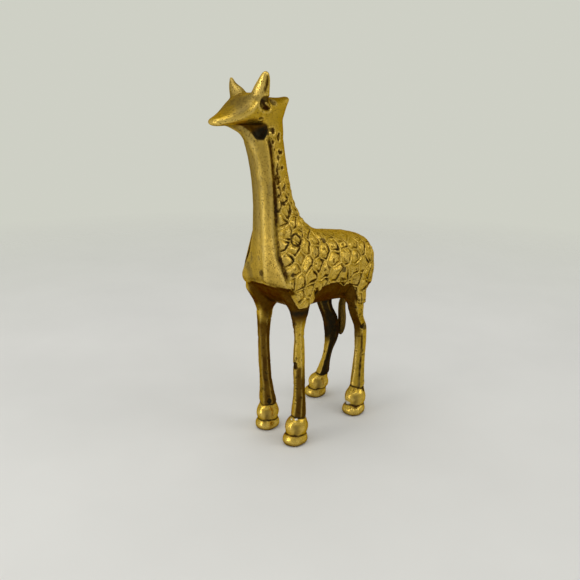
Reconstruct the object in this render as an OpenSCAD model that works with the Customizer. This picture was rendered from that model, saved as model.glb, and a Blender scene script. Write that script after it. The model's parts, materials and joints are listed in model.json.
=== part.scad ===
// A cast brass giraffe figurine, about 210 mm tall, as its separate castings.
// The giraffe faces +X, its left side is +Y, and it stands on z = 0.
// The origin is under the middle of the whole figurine.

/* [Body] */
// Width across the chest and trunk
body_w = 37; // [34:0.5:39]
// Width across the neck just under the head
neck_w = 15; // [14:0.5:16]
// Thickness of the hollow trunk's wall
wall = 3.5; // [3:0.25:4.5]

/* [Head] */
// Distance between the two horn tips
horn_spread = 24.8; // [23:0.2:27]
// Width of the skull at the brow, where the horns stand
brow_w = 21; // [20:0.5:22]
// Diameter of the round tenon that joins the head to the neck
head_tenon_d = 8; // [6:0.5:9]

/* [Legs] */
// Thickness of a leg at its slimmest
leg_d = 6.4; // [6:0.1:7.2]
// Diameter of the round tenons that join the legs to the trunk
leg_tenon_d = 6; // [5:0.25:6.5]
// Length of the leg tenons
leg_tenon_l = 8; // [6:0.5:9]

/* [Hooves] */
// Length of a hoof along the ground
hoof_l = 15.2; // [14.2:0.2:16]
// Width of a hoof
hoof_w = 13.6; // [12.5:0.1:14.5]
// Height of the joint between a leg and its hoof casting
ankle_z = 16.2; // [15.6:0.2:17]
// Diameter of the peg that joins a hoof casting to its leg
hoof_peg_d = 3; // [2.5:0.25:3.5]

/* [Pins] */
// Diameter of the dowel pins between the body halves
dowel_d = 3; // [2.5:0.25:3.5]
// Length of the dowel pins
dowel_l = 10; // [8:0.5:12]
// Diameter of the peg that joins the tail to the rump
tail_peg_d = 2.5; // [2:0.25:3]

/* [Hidden] */

brass = "#b08d2e";
dark_brass = "#8f6f22";
pin_brass = "#9a8a5a";

ring_points = 32;     // points round each body section
leg_points = 20;      // points round each leg and hoof section
steps = 2;            // drawn sections for each span between two stations
big = 400;            // a box that covers the whole figurine

// Where the castings meet
neck_joint_z = 176.6;
front_joint_z = 77.6;
rear_joint_z = 74.6;
peg_l = 5;
neck_tenon_x = 38.4;
neck_tenon_l = 12;
boss_wall = 2.5;

// The hand-carved horns: their tips' heights, and how far the pair sits to the left
left_horn_z = 209.6;
right_horn_z = 207.2;
horn_shift = 0.4;

// Where each hoof stands
front_left_foot = [28.5, 14];
front_right_foot = [26.3, -11.4];
rear_left_foot = [-26.3, 16.2];
rear_right_foot = [-28.4, -18.8];

// How far the working frame (between the four hooves) is from the origin
snout_x = 76.4;
tail_x = -54.4;
centre = [(snout_x + tail_x) / 2, (rear_left_foot[1] + rear_right_foot[1]) / 2, 0];

// Each limb's middle line from inside the trunk down to the ankle, as
// [x, y, z, half depth, half width], the last two as multiples of leg_d / 2.
front_left_limb = [
    [25, 10.5, 99.6, 3.9, 2],
    [25.6, 12.3, 91.2, 3.7, 1.9],
    [25.8, 13.2, 83.6, 2.2, 1.6],
    [27.2, 14.2, 77.6, 1.5, 1.25],
    [27.4, 14.3, 72.6, 1.05, 0.95],
    [26.6, 14.2, 65.6, 0.92, 0.86],
    [26.4, 14, 54.6, 1.07, 0.98],
    [25.8, 14, 39.6, 1.05, 0.98],
    [25.4, 14, 28.6, 1.12, 1.05],
    [26, 14, ankle_z, 1.5, 1.4]
];
front_right_limb = [
    [25, -10.5, 99.6, 3.9, 2],
    [26.8, -13.2, 92.6, 4.05, 2.2],
    [26, -13.3, 83.6, 2.6, 1.9],
    [26.6, -13.6, 77.6, 1.75, 1.4],
    [27.8, -13.1, 70.6, 1.35, 1.15],
    [29, -12.2, 58.6, 1.1, 0.98],
    [28.8, -11.6, 44.6, 1.15, 1.03],
    [27.6, -11.4, 30.6, 1.2, 1.12],
    [25.9, -11.4, ankle_z, 1.7, 1.6]
];
rear_left_limb = [
    [-27, 10.5, 99.6, 4, 2.2],
    [-27, 12, 89.6, 3.2, 2],
    [-26.8, 13, 81.6, 2.45, 1.8],
    [-27.1, 13.4, 74.6, 1.95, 1.6],
    [-29.8, 12.7, 65.6, 1.45, 1.3],
    [-35.6, 11.5, 57.6, 1.55, 1.22],
    [-37.6, 11, 48.6, 1.4, 1.12],
    [-37.2, 11.2, 38.6, 1.28, 1.08],
    [-34.6, 12.6, 26.6, 1.32, 1.2],
    [-31, 14.8, ankle_z, 1.6, 1.5]
];
rear_right_limb = [
    [-27, -10.5, 99.6, 4, 2.2],
    [-28, -12, 89.6, 3.5, 2],
    [-27.7, -12.8, 81.6, 2.5, 1.8],
    [-27.1, -12.8, 74.6, 1.85, 1.6],
    [-28.3, -12.2, 66.6, 1.4, 1.4],
    [-32.4, -11.3, 58.6, 1.65, 1.35],
    [-34.4, -10.8, 50.6, 1.8, 1.3],
    [-34.6, -10.9, 42.6, 1.5, 1.2],
    [-32.6, -11.6, 34.6, 1.02, 0.92],
    [-31.8, -13, 26.6, 1.02, 0.95],
    [-31.2, -15.4, ankle_z, 1.55, 1.4]
];

// The dowel pins' places along and above the trunk
dowel_places = [[-44, 94.6], [37, 101.6], [34, 157.6]];

// A smooth curve through the list v, at t from 0 to len(v) - 1
function on_curve(v, t) =
    let(
        i = min(floor(t), len(v) - 2),
        f = t - i,
        a = v[max(i - 1, 0)],
        b = v[i],
        c = v[i + 1],
        d = v[min(i + 2, len(v) - 1)]
    )
    b + f / 2 * ((c - a) + f * ((2 * a - 5 * b + 4 * c - d) + f * (3 * (b - c) + d - a)));

// The list v with more places drawn between its stations
function smoothed(v) = [
    for (k = [0 : steps * (len(v) - 1)]) on_curve(v, k / steps)
];

// A signed power, for sections between an ellipse (2) and a rounded box (above 2)
function bent(value, power) = sign(value) * pow(abs(value), 2 / power);

// One upright section of the trunk, neck or skull. A station is
// [back x, back z, belly x, belly z, half width, where the width is, back shape, belly shape].
function rib(s, inset) = [
    for (k = [0 : ring_points - 1])
    let(
        turn = 360 * k / ring_points,
        back = [s[0], 0, s[1]],
        belly = [s[2], 0, s[3]],
        along = (belly - back) / norm(belly - back),
        top = back + along * inset,
        bottom = belly - along * inset,
        middle = back + (belly - back) * s[5],
        reach = (cos(turn) > 0 ? top : bottom) - middle,
        shape = cos(turn) > 0 ? s[6] : s[7]
    )
    middle + reach * abs(bent(cos(turn), shape)) + [0, (s[4] - inset) * bent(sin(turn), shape), 0]
];

// One level section of a leg, hoof, horn or tail. A station is
// [x, y, z, half depth, half width, shape].
function slice(s) = [
    for (k = [0 : leg_points - 1])
    let(turn = 360 * k / leg_points)
    [s[0] + s[3] * bent(cos(turn), s[5]), s[1] + s[4] * bent(sin(turn), s[5]), s[2]]
];

// A closed skin over a list of sections
module skin(rings) {
    n = len(rings[0]);
    last = len(rings) - 1;
    sides = [
        for (r = [0 : last - 1], k = [0 : n - 1])
        let(next = (k + 1) % n)
        each [
            [r * n + k, r * n + next, (r + 1) * n + k],
            [r * n + next, (r + 1) * n + next, (r + 1) * n + k]
        ]
    ];
    first_cap = [for (k = [n - 1 : -1 : 0]) k];
    last_cap = [for (k = [0 : n - 1]) last * n + k];
    polyhedron([for (ring = rings) each ring], concat([first_cap], sides, [last_cap]), 12);
}

// A free-form casting's outside, kept as one closed surface
module casting() {
    resize([0, 0, 0]) children();
}

module ribs(stations, inset = 0) {
    skin([for (s = smoothed(stations)) rib(s, inset)]);
}

module column(stations) {
    skin([for (s = smoothed(stations)) slice(s)]);
}

module below(z) {
    translate([-big / 2, -big / 2, z - big]) cube(big);
}

module above(z) {
    translate([-big / 2, -big / 2, z]) cube(big);
}

// side is 1 for the giraffe's left and -1 for its right
module half_space(side) {
    translate([-big / 2, side > 0 ? 0 : -big, -big / 2]) cube(big);
}

// ---- Trunk and neck ----

half_w = body_w / 2;
neck_half = neck_w / 2;

trunk = [
    [-50.4, 98.6, -50.8, 89.6, 0.2 * half_w, 0.5, 2, 2],
    [-48, 108.6, -49.6, 81.6, 0.5 * half_w, 0.5, 2.2, 2.1],
    [-42, 115, -44.5, 76.6, 0.79 * half_w, 0.46, 2.4, 2.2],
    [-31, 118.8, -33, 75.8, 0.96 * half_w, 0.46, 2.3, 2.3],
    [-14, 121.8, -14, 77.6, half_w, 0.48, 2.1, 2.3],
    [-1, 124.2, 3, 79, 0.97 * half_w, 0.5, 2, 2.2],
    [6.5, 127.2, 19, 80, 0.96 * half_w, 0.56, 1.9, 2.2],
    [10.5, 130.2, 33, 87, half_w, 0.66, 1.8, 2.4],
    [13.2, 132.4, 41, 97.4, half_w, 0.92, 1.8, 4],
    [14.6, 134.2, 42.8, 102.4, 0.96 * half_w, 0.87, 1.8, 3.2],
    [16.6, 136.6, 43.5, 109, 0.83 * half_w, 0.83, 1.8, 2.5],
    [18.8, 140.6, 43.6, 116.6, 0.71 * half_w, 0.78, 1.8, 2.3],
    [21.6, 146.6, 43.6, 125.6, 0.55 * half_w, 0.77, 1.9, 2.3]
];

// The neck above the trunk; its last stations run forwards as the throat
neck = [
    [21.6, 146.6, 43.6, 125.6, 0.55 * half_w, 0.77, 1.9, 2.3],
    [24, 155.2, 44.2, 139.6, 1.14 * neck_half, 0.76, 2, 2.3],
    [26.4, 165, 45.8, 153.6, 1.05 * neck_half, 0.75, 2.1, 2.3],
    [28.4, 174.6, 49.2, 167.6, neck_half, 0.74, 2.2, 2.3],
    [29, 181.6, 53, 175.2, 0.98 * neck_half, 0.68, 2.3, 2.1],
    [29.4, 187.6, 57.6, 179.6, 0.9 * neck_half, 0.6, 2.3, 1.7],
    [31, 191.6, 64, 182.2, 0.74 * neck_half, 0.54, 2.2, 1.6],
    [36, 193.6, 70, 184.4, 0.5 * neck_half, 0.5, 2, 1.6]
];

hollow = [
    [-38, 114.6, -39, 77.6, 0.8 * half_w, 0.48, 2.2, 2.2],
    [-29, 118.8, -31, 75.4, 0.96 * half_w, 0.48, 2.2, 2.3],
    [-14, 121.8, -14, 77.6, half_w, 0.48, 2.1, 2.3],
    [-1, 124.2, 3, 78.6, 0.97 * half_w, 0.5, 2, 2.2],
    [6.5, 127.2, 19, 79.6, 0.92 * half_w, 0.56, 1.9, 2.2],
    [10.5, 130.2, 31, 85.6, 0.86 * half_w, 0.64, 1.8, 2.2]
];

// A whole limb, from inside the trunk to the ankle
module limb(line) {
    half = leg_d / 2;
    column([for (s = line) [s[0], s[1], s[2], s[3] * half, s[4] * half, 2.3]]);
}

// The shoulder or hip that stands out under the trunk and carries a leg
module hip(line, joint_z) {
    difference() {
        limb(line);
        below(joint_z);
    }
}

module trunk_and_neck() {
    casting() difference() {
        union() {
            ribs(trunk);
            ribs(neck);
            hip(front_left_limb, front_joint_z);
            hip(front_right_limb, front_joint_z);
            hip(rear_left_limb, rear_joint_z);
            hip(rear_right_limb, rear_joint_z);
        }
        above(neck_joint_z);
        difference() {
            ribs(hollow, wall);
            leg_bosses();
        }
    }
}

// The middle of a limb where it crosses the height z
function crossing(line, z) =
    let(
        i = [for (k = [0 : len(line) - 2]) if (line[k][2] >= z && line[k + 1][2] < z) k][0],
        part = (line[i][2] - z) / (line[i][2] - line[i + 1][2])
    )
    line[i] + part * (line[i + 1] - line[i]);

module at_crossing(line, z) {
    place = crossing(line, z);
    translate([place[0], place[1], z]) children();
}

// Solid metal left in the hollow trunk round each leg's socket
module leg_bosses() {
    boss_h = leg_tenon_l + boss_wall + front_joint_z - rear_joint_z;
    for (line = [front_left_limb, front_right_limb, rear_left_limb, rear_right_limb]) {
        at_crossing(line, rear_joint_z) cylinder(d = leg_tenon_d + 2 * boss_wall, h = boss_h);
    }
}

// The round tenon at the top of a leg, and the socket for it in the trunk
module leg_tenon(line, joint_z) {
    at_crossing(line, joint_z) translate([0, 0, -1]) cylinder(d = leg_tenon_d, h = leg_tenon_l + 1);
}

module leg_sockets(side) {
    leg_tenon(side > 0 ? front_left_limb : front_right_limb, front_joint_z);
    leg_tenon(side > 0 ? rear_left_limb : rear_right_limb, rear_joint_z);
}

module neck_tenon() {
    translate([neck_tenon_x, 0, neck_joint_z - neck_tenon_l])
        cylinder(d = head_tenon_d, h = neck_tenon_l + 1);
}

module dowel(place) {
    translate([place[0], dowel_l / 2, place[1]]) rotate([90, 0, 0]) cylinder(d = dowel_d, h = dowel_l);
}

module body_half(side) {
    translate(-centre) difference() {
        casting() intersection() {
            trunk_and_neck();
            half_space(side);
        }
        leg_sockets(side);
        neck_tenon();
        tail_peg();
        for (place = dowel_places) dowel(place);
    }
}

module body_shell_left() {
    color(brass) body_half(1);
}

module body_shell_right() {
    color(brass) body_half(-1);
}

module dowel_pins() {
    color(pin_brass) translate(-centre) {
        for (place = dowel_places) dowel(place);
    }
}

// ---- Head ----

brow_half = brow_w / 2;

skull = [
    [23.6, 197.8, 23.8, 195.6, 0.2 * brow_half, 0.5, 2, 2],
    [25.6, 198, 26, 193.6, 0.3 * brow_half, 0.4, 2.2, 2],
    [28.6, 197.6, 29, 188.6, 0.4 * brow_half, 0.4, 2.2, 2],
    [32.5, 197.4, 32.5, 183, 0.54 * brow_half, 0.5, 2.2, 2.2],
    [38, 197.6, 38, 181.2, 0.66 * brow_half, 0.5, 2.2, 2.4],
    [44, 198.2, 44, 181.6, 0.74 * brow_half, 0.45, 2.2, 2.6],
    [49, 199, 49, 183.2, 0.85 * brow_half, 0.32, 2.2, 2.6],
    [53, 199.6, 53, 183.8, 0.98 * brow_half, 0.24, 2.4, 2.4],
    [57, 197.8, 57, 184, brow_half, 0.26, 2.3, 2.3],
    [61, 194.8, 61, 184, 0.97 * brow_half, 0.34, 2.3, 2.2],
    [66, 191.6, 66, 183.9, 0.8 * brow_half, 0.44, 2.2, 2.2],
    [71, 189, 71, 183.8, 0.62 * brow_half, 0.5, 2.2, 2.2],
    [74.8, 187.4, 74.8, 183.8, 0.48 * brow_half, 0.5, 2.2, 2.2],
    [snout_x, 186.4, snout_x, 184.6, 0.3 * brow_half, 0.5, 2, 2]
];

// One horn, leaning outwards from the brow to its tip
module horn(tip_y, tip_z) {
    column([
        [52.7, tip_y, tip_z, 0.7, 0.6, 2],
        [52.7, 0.99 * tip_y, tip_z - 0.8, 1.8, 1.6, 2],
        [52.5, 0.9 * tip_y, tip_z - 3.8, 2.8, 2.9, 2],
        [52.2, 0.71 * tip_y, 201.2, 3.8, 4.6, 2],
        [51.6, 0.58 * tip_y, 196.6, 4.6, 4.9, 2],
        [50.6, 0.5 * tip_y, 191.6, 5, 4.6, 2]
    ]);
}

// The hollow on each side of the throat, under the cheek
module jaw_hollow(side) {
    column([
        [57, side * 8.8, 185, 10, 5.6, 2.6],
        [53.4, side * 8.4, 183.2, 7.4, 5.6, 2.6],
        [50.8, side * 8.3, 181, 5, 5.4, 2.5],
        [49.9, side * 8.3, 179, 3.2, 5, 2.4],
        [49.6, side * 8.6, 177.4, 1.4, 4, 2.2]
    ]);
}

module head() {
    color(brass) translate(-centre) union() {
        casting() difference() {
            union() {
                ribs(skull);
                horn(horn_shift + horn_spread / 2, left_horn_z);
                horn(horn_shift - horn_spread / 2, right_horn_z);
                ribs(neck);
            }
            below(neck_joint_z);
            jaw_hollow(1);
            jaw_hollow(-1);
        }
        neck_tenon();
    }
}

// ---- Legs ----

module leg(line, joint_z) {
    color(brass) translate(-centre) difference() {
        union() {
            casting() difference() {
                limb(line);
                above(joint_z);
            }
            leg_tenon(line, joint_z);
        }
        hoof_peg(line);
    }
}

// The round peg between a leg and its hoof casting
module hoof_peg(line) {
    ankle = line[len(line) - 1];
    translate([ankle[0], ankle[1], ankle_z - 1]) cylinder(d = hoof_peg_d, h = peg_l + 1);
}

module front_leg_left() {
    leg(front_left_limb, front_joint_z);
}

module front_leg_right() {
    leg(front_right_limb, front_joint_z);
}

module rear_leg_left() {
    leg(rear_left_limb, rear_joint_z);
}

module rear_leg_right() {
    leg(rear_right_limb, rear_joint_z);
}

// ---- Hooves ----

// The hoof, the groove over it and the round fetlock, in one casting
module hoof(line, foot) {
    ankle = line[len(line) - 1];
    half = leg_d / 2;
    l = hoof_l / 2;
    w = hoof_w / 2;
    fetlock_x = (ankle[0] + foot[0]) / 2;
    fetlock_y = (ankle[1] + foot[1]) / 2;
    color(dark_brass) translate(-centre) union() {
        casting() column([
            [ankle[0], ankle[1], ankle_z, 0.95 * ankle[3] * half, 0.95 * ankle[4] * half, 2.2],
            [fetlock_x, fetlock_y, 13.8, 0.82 * l, 0.84 * w, 2.2],
            [fetlock_x, fetlock_y, 10.6, 0.95 * l, 0.95 * w, 2.2],
            [fetlock_x, fetlock_y, 7.8, 0.91 * l, 0.91 * w, 2.2],
            [fetlock_x, fetlock_y, 6.4, 0.82 * l, 0.82 * w, 2.2],
            [foot[0] - 0.3, foot[1], 5.2, 0.93 * l, 0.93 * w, 2.3],
            [foot[0], foot[1], 2.8, l, w, 2.3],
            [foot[0], foot[1], 0.8, 0.99 * l, 0.99 * w, 2.3],
            [foot[0], foot[1], 0, 0.91 * l, 0.91 * w, 2.3]
        ]);
        hoof_peg(line);
    }
}

module front_hoof_left() {
    hoof(front_left_limb, front_left_foot);
}

module front_hoof_right() {
    hoof(front_right_limb, front_right_foot);
}

module rear_hoof_left() {
    hoof(rear_left_limb, rear_left_foot);
}

module rear_hoof_right() {
    hoof(rear_right_limb, rear_right_foot);
}

// ---- Tail ----

tail_root = [-52, 0, 97.6];
tail_peg_l = 8;

module tail_peg() {
    translate(tail_root) rotate([0, 90, 0]) cylinder(d = tail_peg_d, h = tail_peg_l);
}

module tail() {
    color(dark_brass) translate(-centre) union() {
        casting() difference() {
            column([
                [-50.6, 0, 102.6, 1.2, 1.2, 2],
                [-51.6, -0.2, 98.6, 2.4, 2.4, 2],
                [-51.9, -1.4, 89.6, 2.2, 2.2, 2],
                [-46.4, -7, 76.6, 2.3, 2.2, 2],
                [-42.6, -9.2, 65.6, 2.6, 2.4, 2],
                [-42.4, -8.4, 56.6, 2.9, 2.8, 2],
                [-43, -9.2, 47.6, 2.6, 2.6, 2],
                [-42.6, -9.8, 42.6, 1, 1.2, 2]
            ]);
            ribs(trunk);
            limb(rear_right_limb);
        }
        tail_peg();
    }
}

body_shell_left();
body_shell_right();
head();
front_leg_left();
front_leg_right();
rear_leg_left();
rear_leg_right();
front_hoof_left();
front_hoof_right();
rear_hoof_left();
rear_hoof_right();
tail();
dowel_pins();
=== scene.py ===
import itertools
import json
import math
from typing import NamedTuple

import bpy
import numpy as np
import openvdb
from mathutils import Matrix, Vector


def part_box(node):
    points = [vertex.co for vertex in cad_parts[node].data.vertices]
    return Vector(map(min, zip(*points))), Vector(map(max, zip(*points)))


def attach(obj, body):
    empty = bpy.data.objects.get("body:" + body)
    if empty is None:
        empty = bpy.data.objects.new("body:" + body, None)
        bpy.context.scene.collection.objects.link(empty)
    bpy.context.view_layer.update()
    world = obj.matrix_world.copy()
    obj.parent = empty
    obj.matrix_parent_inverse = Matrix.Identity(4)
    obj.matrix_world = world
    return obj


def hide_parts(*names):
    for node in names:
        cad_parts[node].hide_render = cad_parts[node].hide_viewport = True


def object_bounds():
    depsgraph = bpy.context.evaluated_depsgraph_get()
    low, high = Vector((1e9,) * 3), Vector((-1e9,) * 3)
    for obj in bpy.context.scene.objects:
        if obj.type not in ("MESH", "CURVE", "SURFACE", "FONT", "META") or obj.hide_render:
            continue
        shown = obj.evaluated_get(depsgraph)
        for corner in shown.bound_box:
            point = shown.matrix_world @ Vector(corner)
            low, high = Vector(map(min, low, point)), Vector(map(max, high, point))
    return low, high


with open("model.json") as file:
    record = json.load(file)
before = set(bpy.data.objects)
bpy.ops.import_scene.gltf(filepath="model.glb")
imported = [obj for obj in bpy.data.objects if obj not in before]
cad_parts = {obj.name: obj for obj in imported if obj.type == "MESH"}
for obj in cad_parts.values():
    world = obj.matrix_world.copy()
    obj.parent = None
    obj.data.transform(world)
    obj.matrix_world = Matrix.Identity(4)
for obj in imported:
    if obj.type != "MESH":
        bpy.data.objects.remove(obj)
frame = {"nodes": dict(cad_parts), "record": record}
cad_box = [list(corner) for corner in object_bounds()]

# Places and sizes, in millimetres.
# Points are given as (forward, left, up) from the spot on the ground midway
# between the four hooves. The frame says where that spot is.
# ------------------------------

MM = 0.001
SNOUT_REACH = 76.4
HEAD_BOX = [np.array(corner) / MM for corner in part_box("head")]
LEFT_SHELL_BOX = [np.array(corner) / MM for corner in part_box("body_shell_left")]
SEAM = LEFT_SHELL_BOX[0][1]
HOME = np.array([HEAD_BOX[1][0] - SNOUT_REACH, SEAM, 0.0])
HEIGHT = HEAD_BOX[1][2]
NECK_JOINT = LEFT_SHELL_BOX[1][2]
REAR_JOINT = LEFT_SHELL_BOX[0][2]
FRONT_JOINT = REAR_JOINT + 3.0
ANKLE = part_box("front_leg_left")[0].z / MM

COARSE = 0.8          # spacing of the grid that the smooth body is shaped on
FINE = 0.4            # spacing of the skin's points
BAND = 5.0            # how far from the surface distances are kept
MARGIN = 6.0          # empty space round the figurine in the grid

LEGS = {
    "front_left": (27.3, 14.0),
    "front_right": (26.1, -11.4),
    "rear_left": (-28.6, 15.5),
    "rear_right": (-29.8, -17.1),
}


def mirrored(points):
    """The same points on the giraffe's left side, with left distances positive."""
    folded = points.copy()
    folded[:, 1] = np.abs(folded[:, 1])
    return folded


def smoothstep(low, high, value):
    """0 below low, 1 above high and a smooth step between them; low may be the larger."""
    part = np.clip((value - low) / (high - low), 0, 1)
    return part * part * (3 - 2 * part)


def span(value, limits):
    """Rises from 0 to 1 between the first two limits and falls back between the last two."""
    return smoothstep(limits[0], limits[1], value) * smoothstep(limits[3], limits[2], value)


def bump(distance, width):
    """1 where the distance is 0, fading away over the width."""
    return np.exp(-((distance / width) ** 2))


def stretched(points, *factors):
    """The points with forward, left and up each multiplied by a factor."""
    return points * np.array(factors)


def noise(points, size, seed):
    """Smooth random values from -1 to 1 whose patches are about size mm across."""
    place = points / size + 11.7 * seed
    cell = np.floor(place).astype(np.int64)
    part = place - cell
    part = part * part * (3 - 2 * part)
    total = np.zeros(len(points))
    for corner in itertools.product((0, 1), repeat=3):
        index = cell + np.array(corner)
        code = index[:, 0] * 73856093 ^ index[:, 1] * 19349663
        code = code ^ index[:, 2] * 83492791 ^ seed * 2654435761
        code = (code ^ (code >> 13)) * 1274126177 & 0xFFFFFF
        weight = np.prod(np.where(corner, part, 1 - part), axis=1)
        total += weight * (code / 0x7FFFFF - 1)
    return total


def layered_noise(points, size, seed):
    """Three layers of noise, each with half the size and half the strength of the one before."""
    total = np.zeros(len(points))
    for layer in range(3):
        total += noise(points, size / 2**layer, seed + layer) / 2**layer
    return total / 1.75


def to_line(points, line):
    """Each point's distance from a line through the given places."""
    line = np.array(line, float)
    best = np.full(len(points), np.inf)
    for start, end in zip(line[:-1], line[1:]):
        step = end - start
        part = np.clip((points - start) @ step / (step @ step), 0, 1)
        best = np.minimum(best, np.linalg.norm(points - start - part[:, None] * step, axis=1))
    return best


# The smooth body: the castings' solids merged, with soft inside corners
# ------------------------------

BODY_FILLET = 3.4     # how wide the soft corners are where the legs grow out of the body
HORN_FILLET = 4.2     # and where the horns grow out of the head
HEAD_EVENING = 0.7    # the widest facets that are evened out on the head,
BODY_EVENING = 1.3    # below it
TAIL_EVENING = 0.9    # and on the tail

GRID_LOW = np.floor((np.array(cad_box[0]) / MM - HOME - MARGIN) / COARSE) * COARSE
GRID_HIGH = np.array(cad_box[1]) / MM - HOME + MARGIN
COARSE_CELLS = np.ceil((GRID_HIGH - GRID_LOW) / COARSE).astype(int) + 1


def distances(node):
    """Signed distances from a CAD node's surface on the coarse grid, negative inside."""
    mesh = frame["nodes"][node].data
    mesh.calc_loop_triangles()
    corners = np.empty(len(mesh.vertices) * 3, np.float32)
    mesh.vertices.foreach_get("co", corners)
    triangles = np.empty(len(mesh.loop_triangles) * 3, np.int32)
    mesh.loop_triangles.foreach_get("vertices", triangles)
    places = corners.reshape(-1, 3) / MM - HOME - GRID_LOW
    grid = openvdb.FloatGrid.createLevelSetFromPolygons(
        places.astype(np.float32),
        triangles=triangles.reshape(-1, 3).astype(np.uint32),
        transform=openvdb.createLinearTransform(voxelSize=COARSE),
        halfWidth=BAND / COARSE,
    )
    field = np.full(COARSE_CELLS, BAND, np.float32)
    grid.copyToArray(field)
    return field


def averaged(field, reach):
    """The field averaged over a bell curve of the width reach, in grid steps."""
    half = max(1, round((math.sqrt(4 * reach * reach + 1) - 1) / 2))
    width = 2 * half + 1
    for axis in range(3):
        for _ in range(3):
            spare = [(half + 1, half) if other == axis else (0, 0) for other in range(3)]
            total = np.cumsum(np.pad(field, spare, mode="edge"), axis=axis, dtype=np.float64)
            total = np.moveaxis(total, axis, 0)
            field = np.moveaxis((total[width:] - total[:-width]) / width, 0, axis).astype(np.float32)
    return field


def fill_hollows(field):
    """Fills the closed spaces inside the merged castings, so that only the outer skin is left."""
    empty = field > COARSE
    outside = np.zeros_like(empty)
    outside[0] = empty[0]
    while True:
        grown = outside.copy()
        for axis in range(3):
            ahead = np.moveaxis(grown, axis, 0)
            ahead[1:] |= ahead[:-1].copy()
            ahead[:-1] |= ahead[1:].copy()
        grown &= empty
        if grown.sum() == outside.sum():
            break
        outside = grown
    hollow = empty & ~outside
    for axis in range(3):
        ahead = np.moveaxis(hollow, axis, 0)
        near = ahead.copy()
        ahead[1:] |= near[:-1]
        ahead[:-1] |= near[1:]
    return np.where(hollow, -BAND, field)


def merged_body():
    """The whole figurine without its tail, with fillets where the legs and horns grow out."""
    nodes = [name for name in sorted(frame["nodes"]) if name != "tail"]
    field = distances(nodes[0])
    for name in nodes[1:]:
        field = np.minimum(field, distances(name))
    field = fill_hollows(field)
    up = GRID_LOW[2] + COARSE * np.arange(COARSE_CELLS[2])
    under_body = span(up, (61, 73, 92, 102))
    at_head = smoothstep(186, 192, up)
    for place, reach in ((under_body, BODY_FILLET), (at_head, HORN_FILLET)):
        soft = np.minimum(field, averaged(field, reach / COARSE))
        field = field + (soft - field) * place.astype(np.float32)
    crisp = even(field, HEAD_EVENING)
    return crisp + (even(field, BODY_EVENING) - crisp) * smoothstep(182, 176, up).astype(np.float32)


def even(field, reach):
    """Evens out facets narrower than reach without shrinking the shape."""
    once = averaged(field, reach / COARSE)
    return 2 * once - averaged(once, reach / COARSE)


def doubled(field):
    """The same field on the fine grid."""
    for axis in range(3):
        field = np.moveaxis(field, axis, 0)
        finer = np.empty((2 * len(field) - 1, *field.shape[1:]), np.float32)
        finer[::2] = field
        finer[1::2] = (field[:-1] + field[1:]) / 2
        field = np.moveaxis(finer, 0, axis)
    return averaged(field, 0.8)


def skin(field):
    """The surface of a field as points in mm and four-sided faces."""
    grid = openvdb.FloatGrid(BAND)
    grid.copyFromArray(np.ascontiguousarray(field))
    points, faces = grid.convertToQuads(0.0)[:2]
    return points.astype(np.float64) * FINE + GRID_LOW, faces.astype(np.int64)


def point_normals(points, faces):
    """The way the skin faces at each point."""
    first, second, third, fourth = (points[faces[:, corner]] for corner in range(4))
    across = np.cross(third - first, fourth - second)
    normals = sum_at_points(across, faces, len(points))
    return normals / np.maximum(np.linalg.norm(normals, axis=1, keepdims=True), 1e-12)


def sum_at_points(vectors, faces, count):
    """For each of count points, the sum of the vectors of the faces round it."""
    columns = [
        sum(np.bincount(faces[:, corner], vectors[:, axis], count) for corner in range(4))
        for axis in range(3)
    ]
    return np.stack(columns, axis=1)


def relaxed(vectors, faces, rounds):
    """The vectors at the points, evened out between neighbours."""
    count = np.bincount(faces.ravel(), minlength=len(vectors))
    for _ in range(rounds):
        middle = vectors[faces].mean(axis=1)
        vectors = sum_at_points(middle, faces, len(vectors)) / count[:, None]
    return vectors


# Chasing: what the maker cut and punched into the skin, with the highlights and shade painted over it.
# Lifts and widths are in mm. How strongly a finish, a painted highlight or a painted shade is laid on
# goes from 0 to 1.
# ------------------------------

# The sharp edge between the smooth front of the neck and its chased side
STRAP_EDGE = [
    (45.9, 7.3, 177), (43.9, 7.5, 168), (42.6, 7.6, 156), (41.9, 7.7, 143), (42, 8.5, 127),
    (42.3, 10.6, 115), (41, 15.2, 105), (39, 16.5, 98.4), (33, 16.6, 87),
]
STRAP_SLANT = 0.8     # what a step forward counts against one sideways across that edge

# The edge of the chest over its underside, which is painted with a dark brown reflection
CHEST_EDGE = [(41.3, 0, 98.8), (40.9, 9, 98.5), (39, 15.9, 98)]

# The same edge and how it drops down the shoulder, as (left, up)
CHEST_UNDERSIDE = [(0, 98.8), (9, 98.5), (15.9, 97.5), (18, 95), (21, 88)]

# The lower limit of the chased cells along the flank, as (forward, up)
FLANK_LIMIT = [
    (-54, 76), (-38, 75), (-24, 76), (-21.6, 84), (-19, 88), (-14, 90.4), (-10, 89.4),
    (-4, 93), (6, 93.8), (11, 93), (15, 88.8), (21, 86.4), (26, 85), (31.5, 85.4), (39, 98),
]
SCALLOP = 0.9

# The edge of the flat forehead, from the bill's corner to the horn's tip
BROW_EDGE = [
    (73.4, 5.3, 185.9), (69.3, 6.7, 186.5), (63.1, 8.8, 188.5), (58.7, 10.1, 191.1),
    (56.7, 10.5, 193.7), (54.8, 11.5, 199.8), (54.3, 12.9, 204.7), (53.8, 13.5, 208.1),
]
BROW_VALLEY = np.array([0, 0.8, -2.6])     # from the brow's edge to the valley under it

# The stripe of painted shade on the outer face of each horn
HORN_STRIPE = [(52.8, 14.4, 206.4), (53, 13.9, 203.4), (53.4, 13, 200.4)]

# The small scoop behind each eye, painted dark as shade
SCOOP = np.array([40.2, 6.2, 195.4])
SCOOP_SIZE = np.array([3, 3, 2])
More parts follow.
